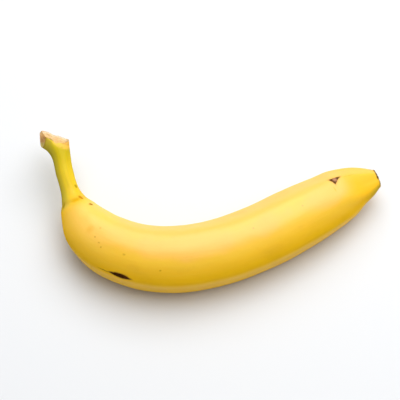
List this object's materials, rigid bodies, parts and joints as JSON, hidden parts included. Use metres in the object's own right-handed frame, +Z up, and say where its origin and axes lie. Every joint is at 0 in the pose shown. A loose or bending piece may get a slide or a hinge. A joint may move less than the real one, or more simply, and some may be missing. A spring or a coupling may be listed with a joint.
{
  "type": "banana",
  "caption": "Ripe yellow banana, a bent finger with soft ridges, a thin stalk cut at its crown and a blunt dried blossom end, lying on its side.",
  "frame": {"origin": "on the surface that the fruit lies on, under the middle of its box", "axes": "+X from the stalk to the blossom end, +Y to the inside of the bend, +Z up"},
  "size_m": [0.1796, 0.0882, 0.0326],
  "materials": {
    "peel": "smooth, half matt, slightly waxy banana peel"
  },
  "bodies": {
    "root": {"banana": "peel"}
  },
  "joints": []
}
